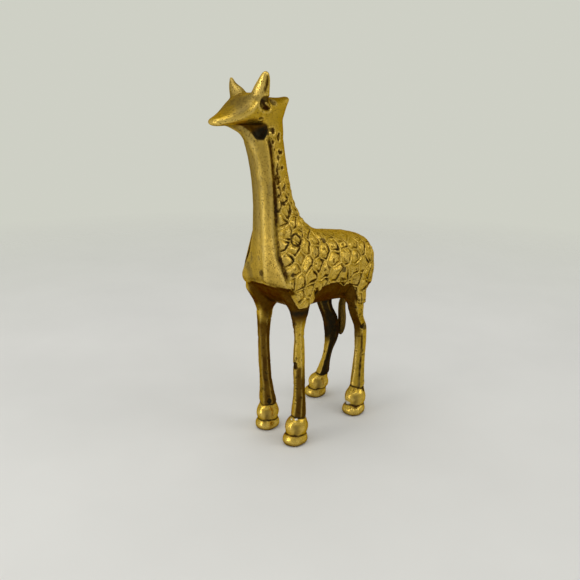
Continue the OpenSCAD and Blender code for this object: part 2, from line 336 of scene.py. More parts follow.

# The painted shadow in the hollow on each side of the throat, as (up, its middle's place forward, half
# its length)
JAW_HOLLOW = [(177, 49.6, 1.8), (179, 49.9, 3.6), (181, 50.8, 5.4), (183.2, 53.4, 7.8), (185, 57, 10)]
JAW_HOLLOW_LEFT = 8.5
JAW_HOLLOW_DEPTH = 5.8

EYE = np.array([50.6, 11.4, 194.4])
EYE_FACING = np.array([0.62, 0.78, 0.05])
EYE_SIZE = 3.6

# Pits punched down the side of the neck, as (forward, up, half width, half height)
NECK_PITS = [
    (42, 181.3, 1.5, 1.5), (36.9, 178.1, 1.2, 1.7), (41.3, 175.5, 1.3, 1.2), (35.9, 170, 1.8, 1.1),
    (38.6, 162.4, 1.0, 1.9), (38.5, 155.3, 1.6, 2.9), (34.6, 162, 1.2, 0.8), (33, 151.4, 1.1, 1.6),
    (35.4, 143.4, 1.7, 1.4), (30, 138.4, 1.7, 1.7), (37.6, 167.6, 0.8, 1.3),
]

# Flat grey plugs in the casting, as a place near the skin and a radius
PLUGS = [
    ((3.3, 15, 122), 1.9), ((-7.3, 18.4, 100.8), 1.7), ((37, 15.5, 106.3), 1.5), ((42.8, 0, 105), 1.8),
    ((40.4, -11.5, 110.8), 1.2), ((-36.5, 13, 57.5), 2.4),
]

# Black nicks, as a place near the skin and a radius
BLACK_NICKS = [
    ((30.8, 12.8, 49.3), 2.4), ((15, 17, 90), 2.0), ((30, -5.4, 19.3), 1.6), ((-31.8, 20.5, 16), 1.6),
    ((-33.5, 19.5, 57), 1.9),
]

# The cell with a black outline, and the outline's radius
OUTLINED_CELL = (29.7, 12.5, 123.5)
OUTLINE_RADIUS = 3.4

# Silver solder that fills parts of two grooves, as a place near the skin and a radius
SOLDER = [((-21.4, 13.9, 7.6), 3.3), ((30.6, 16.4, 16.2), 1.0), ((31.6, 13.4, 16.0), 0.7)]
SOLDER_FLATNESS = np.array([1, 1, 2.4])

# Chisel nicks along an edge of two legs, as the edge's bearing, its lowest and its highest place
NICKED_EDGES = {"front_left": (8, 25, 50), "rear_left": (-6, 24, 53)}
NICK_SPACING = 1.7

# dark, bright and brown hold painted shade, painted highlights and painted reflections as well as
# patina, polish and stains
FINISH_AND_SHADING_NAMES = ("dark", "bright", "brown", "dull", "silver")


class Skin:
    """Points, faces and normals of a skin, with its finish and its painted highlights and shade at each
    point.
    """

    def __init__(self, points, faces):
        self.points = points
        self.faces = faces
        self.normals = point_normals(points, faces)
        self.finish_and_shading = {name: np.zeros(len(points)) for name in FINISH_AND_SHADING_NAMES}

    def lift(self, height):
        """Moves each point along its normal by height, in mm."""
        self.points = self.points + self.normals * height[:, None]

    def paint(self, name, amount):
        self.finish_and_shading[name] = np.maximum(self.finish_and_shading[name], np.clip(amount, 0, 1))

    def clean(self, name, amount):
        self.finish_and_shading[name] = self.finish_and_shading[name] * (1 - np.clip(amount, 0, 1))

    def nearest(self, place):
        """The point of the skin nearest to a place."""
        return self.points[np.argmin(((self.points - np.array(place)) ** 2).sum(axis=1))]

    def away_from(self, place, flatness=1):
        """Each point's distance from the point of the skin nearest to a place."""
        return np.linalg.norm((self.points - self.nearest(place)) * flatness, axis=1)


def strap_side(points):
    """Positive on the smooth front of neck and chest, negative on the chased side, in mm."""
    folded = mirrored(points)
    forward, left, up = np.array(STRAP_EDGE[::-1]).T
    ahead = folded[:, 0] - np.interp(folded[:, 2], up, forward)
    outward = folded[:, 1] - np.interp(folded[:, 2], up, left)
    return np.sign(ahead * STRAP_SLANT - outward) * to_line(folded, STRAP_EDGE)


def flank_height(points):
    """How far a point is above the scalloped lower limit of the chased cells."""
    forward, up = np.array(FLANK_LIMIT).T
    limit = np.interp(points[:, 0], forward, up)
    return points[:, 2] - limit - SCALLOP * noise(stretched(points, 1, 0, 0), 6.0, 3)


# The chased cells
CELL_LEAN = np.array([-0.8, 0.0, 0.6])     # the way the cells are drawn out
CELL_STRETCH = 1.22
# On this side each cell's groove is painted dark as shade.
SHADED_SIDE = np.array([-0.85, 0.0, -0.5])   # the side of each cell where the groove is widest
CELL_SPACING = [(92, 6.5), (118, 6.5), (135, 5.0), (150, 3.6)]     # as (up, distance between cells)
CELL_CANDIDATES = 9000
CELLS_BEHIND_STRAP_LEFT = 1.8
CELLS_BEHIND_STRAP_RIGHT = 5.5
CELL_BEND = 1.15            # how far the cells' borders wander
CELL_LENGTH = 5.0
UNDER_FLANK = (-6.5, -5, -0.8, 0)          # the heights under the flank's limit with ridges only
UNDER_FLANK_LENGTH = (-24, -21, 11, 15)
RIDGE_WIDTH = 0.4
RIDGE_HEIGHT = 0.2
GROOVE_PLACE = 0.55         # from the border to the near side of the groove
GROOVE_DEPTH = 0.08
DARK_GROOVE_DEPTH = 0.5     # how much deeper the groove is on the dark side
PEBBLE_HEIGHT = 0.34
PEBBLE_VARIETY = 0.36
PEBBLE_TILT = 0.06
SUNK_ABOVE = 0.86           # the cells with a random number above this are sunk
SUNK_DEPTH = 0.7
PIT_DEPTH = 0.3
WORN_RELIEF = 0.2           # how much of the relief is left on the worn back


def in_cell_space(points):
    """Squeezes the points along the cells' lean, so that leaning cells become round."""
    along = points @ CELL_LEAN
    return points + (along * (1 / CELL_STRETCH - 1))[:, None] * CELL_LEAN


def cell_centres(points, seed):
    """Places spread evenly over the chased points, closer together up the neck."""
    picker = np.random.default_rng(seed)
    candidates = points[picker.permutation(len(points))[:CELL_CANDIDATES]]
    heights, spacings = np.array(CELL_SPACING).T
    chosen = np.empty((0, 3))
    for place, gap in zip(candidates, np.interp(candidates[:, 2], heights, spacings)):
        if len(chosen) == 0 or ((chosen - place) ** 2).sum(axis=1).min() > gap * gap:
            chosen = np.vstack([chosen, place])
    own, _ = nearest_two(candidates, chosen)
    count = np.maximum(np.bincount(own, minlength=len(chosen)), 1)
    totals = [np.bincount(own, candidates[:, axis], len(chosen)) for axis in range(3)]
    return np.stack([total / count for total in totals], axis=1)


def nearest_two(points, centres, batch=20000):
    """For each point: the nearest centre's index and the distance to the border of its cell."""
    first = np.empty(len(points), int)
    border = np.empty(len(points))
    for start in range(0, len(points), batch):
        part = points[start:start + batch]
        away = ((part**2).sum(1)[:, None] - 2 * part @ centres.T) + (centres**2).sum(1)[None]
        order = np.argpartition(away, 1, axis=1)[:, :2]
        rows = np.arange(len(part))
        swap = away[rows, order[:, 0]] > away[rows, order[:, 1]]
        order[swap] = order[swap][:, ::-1]
        gap = np.linalg.norm(centres[order[:, 0]] - centres[order[:, 1]], axis=1)
        first[start:start + batch] = order[:, 0]
        border[start:start + batch] = (away[rows, order[:, 1]] - away[rows, order[:, 0]]) / (2 * gap)
    return first, border


def chase_cells(body, side):
    """Rough pebbles between thin raised ridges with painted highlights, and a groove on each pebble's
    lower rear that is painted dark as shade.
    """
    points = body.points
    forward, left, up = points.T
    above = flank_height(points)
    start = np.where(left > 0, CELLS_BEHIND_STRAP_LEFT, CELLS_BEHIND_STRAP_RIGHT)
    area = smoothstep(0, -1, side + start) * smoothstep(-0.3, 0.7, above) * smoothstep(168, 144, up)
    under_flank = span(above, UNDER_FLANK) * (np.abs(left) > 7) * span(forward, UNDER_FLANK_LENGTH)
    inside = (area > 0) | (under_flank > 0)
    bend = np.stack([noise(points, 4.5, 31 + axis) for axis in range(3)], axis=1)
    squeezed = in_cell_space(points + CELL_BEND * bend)
    centres = cell_centres(squeezed[inside], 21)
    first = np.zeros(len(points), int)
    border = np.full(len(points), 9.0)
    first[inside], border[inside] = nearest_two(squeezed[inside], centres)
    picker = np.random.default_rng(5)
    own = picker.random(len(centres))[first]
    lean = (squeezed - centres[first]) @ SHADED_SIDE
    rear = np.clip(0.5 + lean / CELL_LENGTH, 0, 1)
    gap = 0.15 + 1.0 * rear * (0.6 + 0.6 * noise(points, 6.0, 41))
    ridge = bump(border, RIDGE_WIDTH)
    groove = bump(border - GROOVE_PLACE - gap / 2, 0.25 + gap / 3)
    top = smoothstep(0.35 + gap, 2.3 + gap, border)
    pits = smoothstep(0.38, 0.6, noise(points, 1.6, 53)) * top
    rough = 0.17 * noise(points, 1.5, 51) + 0.10 * noise(points, 0.8, 52) - PIT_DEPTH * pits
    sunk = (own > SUNK_ABOVE) * top
    worn = WORN_RELIEF + (1 - WORN_RELIEF) * smoothstep(0.9, 0.45, body.normals[:, 2])
    tilt = picker.normal(size=(len(centres), 3))[first]
    facet = ((squeezed - centres[first]) * tilt).sum(axis=1) * PEBBLE_TILT
    height = RIDGE_HEIGHT * ridge - (GROOVE_DEPTH + DARK_GROOVE_DEPTH * rear) * groove
    height = height + (PEBBLE_HEIGHT + PEBBLE_VARIETY * own + facet) * top - SUNK_DEPTH * sunk
    body.lift((height * area + 0.25 * ridge * under_flank) * worn + rough * area * (0.4 + 0.6 * worn))
    patchy = np.clip(0.75 + 0.8 * noise(points, 8.0, 61), 0.15, 1)
    # Painted shade: the groove is painted dark, most on each pebble's lower rear.
    body.paint("dark", area * groove * (2.0 * rear - 0.5) * patchy * (0.3 + 0.7 * worn))
    body.paint("dark", 0.6 * area * pits)
    body.paint("dull", 0.6 * area * sunk)
    # Painted highlight on the ridges; the lighter pebble tops are both polish and painted highlight.
    body.paint("bright", ridge * (0.5 * area + 0.5 * under_flank) + 0.4 * top * area * (1 - pits))


# The pitted side of the neck
PITTED_NECK = (134, 146, 182, 188)
PITTED_SIDE = (-8, -5, -2.4, -1.6)     # from the strap's edge
LUMP_HEIGHT = 0.34
SMALL_LUMP_HEIGHT = 0.14
SPECK_DEPTH = 0.3
NECK_PIT_DEPTH = 0.5
NECK_PIT_RIM = 0.1


def punch_neck(body, side):
    """Small irregular pits and lumps down the side of the neck."""
    points = body.points
    forward, left, up = points.T
    beside = span(side, PITTED_SIDE)
    up_neck = span(up, PITTED_NECK)
    lumps = LUMP_HEIGHT * noise(points, 3.2, 54) + SMALL_LUMP_HEIGHT * noise(points, 1.3, 55)
    body.lift(lumps * up_neck * beside)
    specks = smoothstep(0.18, 0.4, noise(stretched(points, 1, 1, 0.7), 1.7, 59)) * up_neck * beside
    body.lift(-SPECK_DEPTH * specks)
    body.paint("dark", 0.8 * specks)
    outer = np.abs(left) > 3
    ragged = 0.6 * noise(points, 1.7, 56)
    for pit_forward, pit_up, half_width, half_height in NECK_PITS:
        away = np.hypot((forward - pit_forward) / half_width, (up - pit_up) / half_height) + ragged
        pit = smoothstep(1.25, 0.8, away) * outer
        rim = bump(away - 1.45, 0.3) * outer
        body.lift(NECK_PIT_RIM * rim - NECK_PIT_DEPTH * pit)
        body.paint("dark", 0.9 * pit)
        body.paint("bright", 0.3 * rim)


# The smooth front of the neck and the chest
GROOVE_HEIGHTS = (100, 108, 175, 180)
EDGE_HEIGHTS = (88, 98, 174, 180)
STRAP_GROOVE_DEPTH = 0.8
STRAP_EDGE_HEIGHT = 0.14
BAND_HEIGHT = 0.32
BAND_MIDDLE = [(100, 3.0), (118, 2.2), (170, 2.2)]     # the band with the painted highlight, as (up, left)


def shape_and_shade_strap(body, side):
    """The smooth front of neck and chest: a soft ridge with a painted highlight, a raised band with a
    painted highlight and painted shade on both sides of it, and a groove beside the ridge that is
    painted dark as shade.
    """
    points = body.points
    _, left, up = points.T
    groove = bump(side + 1.5, 1.5) * span(up, GROOVE_HEIGHTS)
    edge = bump(side - 0.9, 0.9) * span(up, EDGE_HEIGHTS)
    body.lift(STRAP_EDGE_HEIGHT * edge - STRAP_GROOVE_DEPTH * groove)
    # Painted shade in the groove beside the strap's edge, and a painted highlight on the edge.
    body.paint("dark", 1.2 * groove * np.clip(0.9 + 0.5 * noise(points, 9.0, 71), 0, 1))
    body.paint("bright", 0.45 * edge)
    front = (side > 0) * smoothstep(0.2, 0.5, body.normals[:, 0]) * smoothstep(182, 172, up)
    front *= smoothstep(97, 99, up)
    heights, lefts = np.array(BAND_MIDDLE).T
    middle = np.interp(up, heights, lefts)
    broken = np.clip(0.95 + 0.7 * noise(stretched(points, 1, 1, 0.35), 2.6, 72), 0, 1)
    # Painted highlight down the band.
    body.paint("bright", front * bump(left - middle, 1.8) * broken)
    body.lift(front * (BAND_HEIGHT * bump(left - middle, 2.4) + 0.05 * noise(points, 2.4, 73)))
    # Painted shade on both sides of the highlighted band.
    body.paint("dull", front * smoothstep(1.4, -0.6, left) * (0.35 + 0.65 * smoothstep(115, 135, up)))
    body.paint("dull", 0.55 * front * smoothstep(middle + 1.2, middle + 2.4, left))
    stains = smoothstep(0.15, 0.5, layered_noise(stretched(points, 1, 1, 0.6), 6.0, 74))
    body.paint("dull", 0.9 * front * stains)
    body.paint("dark", 0.25 * front * stains)


# The lower edges of the flank and the chest
SHOULDER_HEIGHT = 95
SHOULDER_SWELL = 1.1
FLANK_LENGTH = (-60, -50, 38, 44)
FLANK_STEP = 0.7
FLANK_LIP = 0.2
CHEST_LIP = 0.3
CHEST_VALLEY = 0.2


def right_shoulder(points):
    """1 where the overhang of the right shoulder swells out and its gold wraps round."""
    forward, left, up = points.T
    swell = bump(up - SHOULDER_HEIGHT, 4.5) * smoothstep(-9, -13, left)
    return swell * smoothstep(20, 28, forward)


def cut_lower_edges(body):
    """The overhanging edge of the chased flank and of the chest, over the smooth underside, which is
    painted with a dark brown reflection, and a painted highlight along the chest's lip.
    """
    points = body.points
    forward, left, up = points.T
    outward = np.abs(left)
    above = flank_height(points)
    outer = smoothstep(9, 13, outward) * smoothstep(72, 80, up) * span(forward, FLANK_LENGTH)
    outer *= 1 - smoothstep(24, 30, forward) * (left < 0)
    step = smoothstep(0.4, -0.6, above) * smoothstep(-6.5, -1.5, above)
    body.lift(-FLANK_STEP * step * outer + FLANK_LIP * bump(above - 0.6, 0.7) * outer)
    # Painted reflection: the smooth underside below the flank's edge is painted dark brown.
    body.paint("brown", smoothstep(0.2, -0.6, above) * outer * (forward > -23))
    lefts, heights = np.array(CHEST_UNDERSIDE).T
    under_edge = up - np.interp(outward, lefts, heights)
    below_chest = smoothstep(-0.2, -1.2, under_edge) * smoothstep(14, 20, forward)
    below_chest *= smoothstep(-1, 0, strap_side(points)) * smoothstep(60, 78, up)
    below_chest *= smoothstep(-14.5, -11.5, left + 0.12 * (up - 90))
    body.lift(SHOULDER_SWELL * right_shoulder(points))
    # Painted reflection: the underside below the chest's edge is painted dark brown.
    body.paint("brown", below_chest)
    distance = to_line(mirrored(points), CHEST_EDGE)
    level = smoothstep(18, 12, outward) * smoothstep(-15, -11, left)
    valley = bump(distance - 2.2, 1.2) * (up < 97)
    body.lift(CHEST_LIP * level * bump(distance, 0.8) - CHEST_VALLEY * valley)
    # Painted highlight along the chest's lip.
    body.paint("bright", 0.5 * level * bump(distance, 0.6))


# The head
BROW_HEIGHT = 0.12
VALLEY_DEPTH = 0.1
HORN_SLIMMING = 1.0
STRIPE_DEPTH = 0.3
SCOOP_DEPTH = 0.8
CHEEK_ROUGHNESS = 0.12
MARK_DEPTH = 0.35


def shape_head(head):
    """The edges of the forehead, the stripe on each horn, the eyes and the cheeks."""
    points = mirrored(head.points)
    forward, outward, height = points.T
    facing_forward, _, facing_up = head.normals.T
    up = smoothstep(183, 186, height) * smoothstep(20, 30, forward)
    brow = to_line(points, BROW_EDGE)
    valley = bump(to_line(points - BROW_VALLEY, BROW_EDGE), 1.3) * smoothstep(202, 196, height)
    head.lift(up * (BROW_HEIGHT * bump(brow, 0.9) - VALLEY_DEPTH * valley))
    # Painted highlight along the forehead's edge.
    head.paint("bright", up * bump(brow, 0.8) * 0.9)
    forehead = up * smoothstep(0.35, 0.6, facing_forward) * smoothstep(76, 70, forward)
    streaks = layered_noise(stretched(head.points, 0.5, 1, 0.5), 4.0, 121)
    head.paint("dull", forehead * (0.95 + 0.8 * streaks) * smoothstep(205, 198, height))
    head.paint("dark", 0.32 * forehead * (1 + streaks) * smoothstep(205, 196, height))
    slimmer = smoothstep(196, 206, height) * (head.points[:, 1] < 0) * (1 - facing_up**2)
    head.lift(-HORN_SLIMMING * slimmer)
    stripe = bump(to_line(points, HORN_STRIPE), 1.0)
    head.lift(-STRIPE_DEPTH * stripe)
    # Painted shade in the stripe.
    head.paint("dark", 0.9 * stripe)
    # Painted highlight on the front of the near horn, and painted shade on the far horn.
    horn_front = smoothstep(196, 202, height) * smoothstep(0.25, 0.6, facing_forward)
    head.paint("bright", 0.8 * horn_front * (head.points[:, 1] > 0))
    head.paint("dull", 0.9 * smoothstep(195, 199, height) * (head.points[:, 1] < 0))
    hollow = jaw_shadow(points)
    # Painted shadow under the jaw: brown, and dark lower down.
    head.paint("brown", hollow)
    head.paint("dark", hollow * smoothstep(184, 180, height + 0.5 * (forward - 50)))
    throat = smoothstep(0.3, -0.2, facing_up) * smoothstep(48, 54, forward) * (height < 184.4)
    head.paint("dull", throat * (0.9 + 0.4 * streaks))
    poll = smoothstep(0.4, 0.8, facing_up) * smoothstep(50, 46, forward) * (height > 190)
    head.paint("brown", 0.45 * poll)
    scoop = np.linalg.norm((points - SCOOP) / SCOOP_SIZE, axis=1)
    head.lift(-SCOOP_DEPTH * smoothstep(1.2, 0.3, scoop))
    # Painted shadow in the scoop.
    head.paint("dull", smoothstep(1.25, 0.9, scoop))
    head.paint("dark", 0.5 * smoothstep(1.2, 0.6, scoop))
    cheek = up * span(forward, (44, 50, 58, 63)) * (outward > 5) * smoothstep(192.5, 190.5, height)
    marks = smoothstep(0.35, 0.6, noise(stretched(head.points, 0.5, 0.5, 1), 1.7, 57))
    head.lift(cheek * (CHEEK_ROUGHNESS * noise(head.points, 2.2, 58) - MARK_DEPTH * marks))
    head.paint("dark", 0.7 * cheek * marks)
    cut_eye(head, points)


def jaw_shadow(points):
    """1 inside the painted shadow in the hollow on each side of the throat, under the cheek."""
    forward, outward, up = points.T
    heights, middles, reaches = np.array(JAW_HOLLOW).T
    along = (forward - np.interp(up, heights, middles)) / np.interp(up, heights, reaches)
    away = np.hypot(along, (outward - JAW_HOLLOW_LEFT) / JAW_HOLLOW_DEPTH)
    return smoothstep(1.22, 1.04, away) * span(up, (176, 177.5, 184.6, 185.2))


# The eye, in shares of its size: its ball lies low and forward in the socket and slants
SOCKET_POWER = 2.3     # between a round socket and a square one
BALL_PLACE = (0.25, -0.16)
BALL_TURN = math.radians(-24)
BALL_SIZE = (0.72, 0.24)
SOCKET_DEPTH = 0.6
BALL_HEIGHT = 0.6
LID_HEIGHT = 0.3
EYE_RIM_HEIGHT = 0.1


def cut_eye(head, points):
    """A round sunk socket with a lid above and a slanting almond eyeball in it."""
    facing = EYE_FACING / np.linalg.norm(EYE_FACING)
    upward = np.array([0, 0, 1]) - facing[2] * facing
    across = np.cross(upward, facing)
    away = (points - EYE) / EYE_SIZE
    near = smoothstep(2.4, 1.8, np.abs(away @ facing))
    u = away @ across
    v = away @ upward
    ring = (np.abs(u) ** SOCKET_POWER + np.abs(v) ** SOCKET_POWER) ** (1 / SOCKET_POWER)
    from_ball_u = u - BALL_PLACE[0]
    from_ball_v = v - BALL_PLACE[1]
    ball_u = from_ball_u * math.cos(BALL_TURN) + from_ball_v * math.sin(BALL_TURN)
    ball_v = from_ball_v * math.cos(BALL_TURN) - from_ball_u * math.sin(BALL_TURN)
    socket = smoothstep(1.06, 0.84, ring) * near
    ball = smoothstep(1.0, 0.6, np.hypot(ball_u / BALL_SIZE[0], ball_v / BALL_SIZE[1])) * near
    lid = smoothstep(0.1, 0.3, v + 0.35 * u) * socket
    rim = bump(ring - 1.16, 0.13) * near
    head.lift(-SOCKET_DEPTH * socket + BALL_HEIGHT * ball + LID_HEIGHT * lid + EYE_RIM_HEIGHT * rim)
    # Painted shade in the socket, lightened on the ball.
    head.clean("bright", socket)
    head.paint("dark", socket * (1 - 0.4 * lid))
    head.clean("dark", 0.75 * ball)
    head.paint("brown", 0.75 * lid)
    head.paint("dull", 0.6 * ball)
    # Painted highlight on the rim.
    head.paint("bright", 0.7 * rim)


# The feet
FOOT_REACH = 14
FOOT_HEIGHT = 24
CLEFT_BEARING = math.radians(40)             # the clefts face forward and to the left
CLEFT_SPREAD = [(6, 1.4), (14, 3.2)]         # as (up, half width)
HOOF_GROOVE = 6.4
LOW_GROOVE_DEPTH = 0.28
HIGH_GROOVE_DEPTH = 0.3
CLEFT_DEPTH = 1.0
SWELLS = [(10.6, 2.2), (3.4, 2.0)]           # the fetlock and the hoof, as (up, half height)
SWELL_HEIGHT = 0.1
FOOT_ROUGHNESS = 0.15


def shape_feet(feet):
    """Grooves round each foot, the cleft up its front, painted highlights on its swells and painted
    shade at its bottom.
    """
    points = feet.points
    up = points[:, 2]
    wobble = 0.45 * noise(points, 4.0, 81)
    heights, widths = np.array(CLEFT_SPREAD).T
    spread = np.interp(up, heights, widths)
    for foot_forward, foot_left in LEGS.values():
        forward = points[:, 0] - foot_forward
        left = points[:, 1] - foot_left
        here = (np.hypot(forward, left) < FOOT_REACH) & (up < FOOT_HEIGHT)
        low = bump(up - HOOF_GROOVE + wobble, 0.6) * here
        high = bump(up - ANKLE - 0.4 + 2 * wobble, 0.55) * here
        ahead = forward * math.cos(CLEFT_BEARING) + left * math.sin(CLEFT_BEARING)
        aside = left * math.cos(CLEFT_BEARING) - forward * math.sin(CLEFT_BEARING)
        aside = aside + 0.8 * noise(stretched(points, 0, 0, 1), 5.0, 83)
        cleft = bump(aside / spread, 1) * smoothstep(1, 4, ahead)
        cleft *= here * smoothstep(15, 12.5, up) * smoothstep(1, 8, up)
        swell = here * sum(bump(up - middle, half) for middle, half in SWELLS)
        height = SWELL_HEIGHT * swell - LOW_GROOVE_DEPTH * low - HIGH_GROOVE_DEPTH * high
        height = height - CLEFT_DEPTH * cleft + here * FOOT_ROUGHNESS * noise(points, 3.0, 85)
        feet.lift(height)
        feet.paint("dark", low + high)
        feet.paint("dull", 0.8 * cleft)
        feet.paint("dark", 0.3 * cleft)
        # Painted shade at the bottom of each hoof, near the ground.
        feet.paint("brown", 0.75 * here * smoothstep(3.2, 0.6, up + 0.8 * noise(points, 3.0, 86)))
        # Painted highlights on the swells.
        feet.paint("bright", 0.75 * swell * (1 - cleft) * np.clip(0.6 + noise(points, 3.5, 84), 0, 1))


class LegFilingAndShade(NamedTuple):
    """How a leg was filed, and how its painted shade and painted dark reflection lie. They change at
    the height called level.
    """

    facet: float          # the bearing of one of its six facets
    brown_above: float    # how brown it is above the level
    level: float
    blend: float          # how gently the stain changes there
    brown_lit: float      # how brown the lit side is below the level
    brown_far: float      # and the far side
    lit_reach: float      # how far round the lit side reaches, in degrees
    black: float          # how black it is, as painted shadow


LEG_FILING_AND_SHADE = {
    "front_left": LegFilingAndShade(38, 0.1, 48, 1.2, 0.1, 0.95, 55, 0.0),
    "front_right": LegFilingAndShade(-14, 1.0, 62, 16, 0.45, 0.95, 58, 0.0),
    "rear_left": LegFilingAndShade(25, 0.1, 46, 9, 0.05, 0.15, 60, 0.0),
    "rear_right": LegFilingAndShade(-8, 1.0, 42, 7, 0.15, 1.0, 70, 1.15),
}
# The bearing of the lit side, which the painted shade leaves light.
LIT_BEARING = -47
FACETS = 6
FACET_ROUNDNESS = 0.93
FILED = (14, 20, 74, 82)       # the heights at which the legs are filed
SLICE = 2                      # the height of the slices that a leg's middle line is found from
NICK_DEPTH = 0.35
LEG_SPECK_DEPTH = 0.2
STRIPE_BEARING = 52            # the dark stripe down the left rear leg
INNER_THIGH_FACING = np.array([0.55, -0.83, 0])
ELBOW_BAND = 82                # the height of the dark band round the left elbow


def leg_places(legs, castings_of_points):
    """For each point of a leg: its distance and bearing from the leg's middle line."""
    out = np.ones(len(legs.points))
    bearing = np.zeros(len(legs.points))
    for name in LEGS:
        end, side = name.split("_")
        mine = np.isin(castings_of_points, [f"{end}_leg_{side}", f"{end}_hoof_{side}"])
        points = legs.points[mine]
        level = np.round(points[:, 2] / SLICE).astype(int)
        count = np.maximum(np.bincount(level), 1)
        away = []
        for axis in (0, 1):
            middle = np.bincount(level, points[:, axis]) / count
            away.append(points[:, axis] - np.interp(points[:, 2] / SLICE, range(len(count)), middle))
        out[mine] = np.hypot(*away)
        bearing[mine] = np.degrees(np.arctan2(away[1], away[0]))
    return out, bearing


def file_legs(legs):
    """Flat facets with worn edges, painted shade and chisel nicks down each leg."""
    points = legs.points
    forward, _, up = points.T
    castings = casting_of(points)
    on_leg = span(up, FILED)
    out, bearing = leg_places(legs, castings)
    half = 180 / FACETS
    round_leg = (bearing - LIT_BEARING + 180) % 360 - 180
    at_back = smoothstep(95, 135, np.abs(round_leg))
    below_joint = np.where(forward > 0, smoothstep(FRONT_JOINT, FRONT_JOINT - 9, up), 1)
    for name, leg in LEG_FILING_AND_SHADE.items():
        mine = castings == name.replace("_", "_leg_")
        sway = 6 * noise(stretched(points, 0, 0, 1), 9.0, 94)
        across = (bearing - leg.facet + half + sway) % (2 * half) - half
        flat = math.cos(math.radians(half)) / np.cos(np.radians(FACET_ROUNDNESS * across))
        legs.lift(mine * on_leg * np.minimum(out, 5) * (flat - FACET_ROUNDNESS))
        arris = mine * on_leg * smoothstep(0.5, 0.95, np.abs(across) / half)
        arris = arris * np.clip(0.5 + 1.2 * noise(points, 7.0, 95), 0, 1)
        legs.paint("bright", 0.45 * arris)
        change = leg.blend + 9 * at_back
        ragged = up + 2.5 * noise(points, 4.0, 96)
        low = smoothstep(leg.level + change, leg.level - change, ragged)
        lit = smoothstep(leg.lit_reach + 9, leg.lit_reach - 9, round_leg)
        lit = lit * smoothstep(-100, -80, round_leg)
        brown_low = leg.brown_far + (leg.brown_lit - leg.brown_far) * lit
        brown = leg.brown_above + (brown_low - leg.brown_above) * low
        brown = brown * (0.98 + 0.15 * noise(points, 6.0, 102)) * below_joint
        # Painted shade and painted dark reflection: brown on each leg's far side and below its level,
        # dark where low, black where the body shades it.
        legs.paint("brown", mine * brown * (1 - 0.4 * arris))
        legs.paint("dark", 0.35 * mine * brown * low * (1 - 0.7 * arris))
        black = leg.black * (1 - lit * low) * (1 - 0.4 * arris)
        legs.paint("dark", mine * black * np.clip(0.95 + 0.5 * noise(points, 6.0, 97), 0, 1))
    uneven = 0.10 * noise(stretched(points, 1, 1, 0.35), 3.2, 91) + 0.05 * noise(points, 0.9, 92)
    legs.lift(on_leg * uneven)
    nick_legs(legs, castings, bearing)
    speckle = smoothstep(0.3, 0.46, layered_noise(points, 2.1, 103)) * on_leg
    legs.lift(-LEG_SPECK_DEPTH * speckle)
    legs.paint("dark", 0.7 * speckle)
    stripe = bump(bearing - STRIPE_BEARING, 14) * (castings == "rear_leg_left") * smoothstep(54, 50, up)
    legs.paint("dark", stripe * np.clip(0.9 + 0.5 * noise(points, 5.0, 105), 0, 1))
    shade_thighs(legs, points)


def nick_legs(legs, castings, bearing):
    """Rows of chisel nicks down one edge of two legs."""
    points = legs.points
    up = points[:, 2]
    for name, (edge_bearing, lowest, highest) in NICKED_EDGES.items():
        teeth = 0.5 + 0.5 * np.sin(up * 2 * math.pi / NICK_SPACING + 3.0 * noise(points, 3.0, 93))
        teeth = teeth * smoothstep(-0.5, 0.2, noise(points, 4.5, 106))
        mine = castings == name.replace("_", "_leg_")
        edge = smoothstep(24, 10, np.abs(bearing - edge_bearing)) * mine
        edge = edge * smoothstep(lowest - 2, lowest + 1, up) * (up < highest)
        legs.lift(-NICK_DEPTH * teeth * edge)
        legs.paint("dark", 0.75 * teeth * edge)
        legs.paint("bright", 0.8 * (1 - teeth) * edge)


def shade_thighs(legs, points):
    """Painted shade: the black right thigh in the body's shadow and the brown inner left thigh; and the
    dark band at the left elbow.
    """
    forward, left, up = points.T
    at_rear = smoothstep(-14, -18, forward)
    in_body_shadow = at_rear * smoothstep(0, -4, left) * smoothstep(94, 86, up)
    # Painted shadow of the body on the right thigh.
    legs.paint("dark", in_body_shadow * (up > REAR_JOINT))
    inner_thigh = smoothstep(-0.45, -0.1, legs.normals @ INNER_THIGH_FACING) * (left > 0)
    inner_thigh *= at_rear * smoothstep(38, 58, up) * (up < 92)
    # Painted shade on the inner left thigh.
    legs.paint("brown", inner_thigh)
    band = bump(up - ELBOW_BAND, 2.0) * (forward > 15) * (left > 10)
    legs.paint("dark", 0.9 * band * smoothstep(-1, 1, noise(points, 3.0, 98) + 0.6))


def fill_plugs(body):
    """Flat grey plugs in the casting, one black-edged cell, and silver solder in the grooves."""
    for place, radius in PLUGS:
        away = body.away_from(place) + 0.5 * noise(body.points, 2.0, 99)
        plug = smoothstep(radius + 0.4, radius - 0.5, away)
        body.paint("dull", plug)
        body.paint("dark", 0.62 * plug)
        body.clean("bright", smoothstep(radius + 0.6, radius, away))
    for place, radius in BLACK_NICKS:
        away = body.away_from(place) + 0.6 * noise(body.points, 1.5, 104)
        nick = smoothstep(radius + 0.3, radius - 0.5, away)
        body.lift(-0.4 * nick)
        body.paint("dark", nick)
        body.clean("bright", nick)
    away = body.away_from(OUTLINED_CELL) + 0.5 * noise(body.points, 2.0, 99)
    ring = bump(away - OUTLINE_RADIUS, 0.85)
    body.lift(-0.35 * ring)
    body.paint("dark", ring)
    body.clean("bright", ring)
    for place, radius in SOLDER:
        away = body.away_from(place, SOLDER_FLATNESS) + 0.6 * noise(body.points, 1.5, 100)
        solder = smoothstep(radius, 0.6 * radius, away)
        body.lift(0.15 * solder)
        body.paint("silver", solder)
        body.clean("dark", solder)


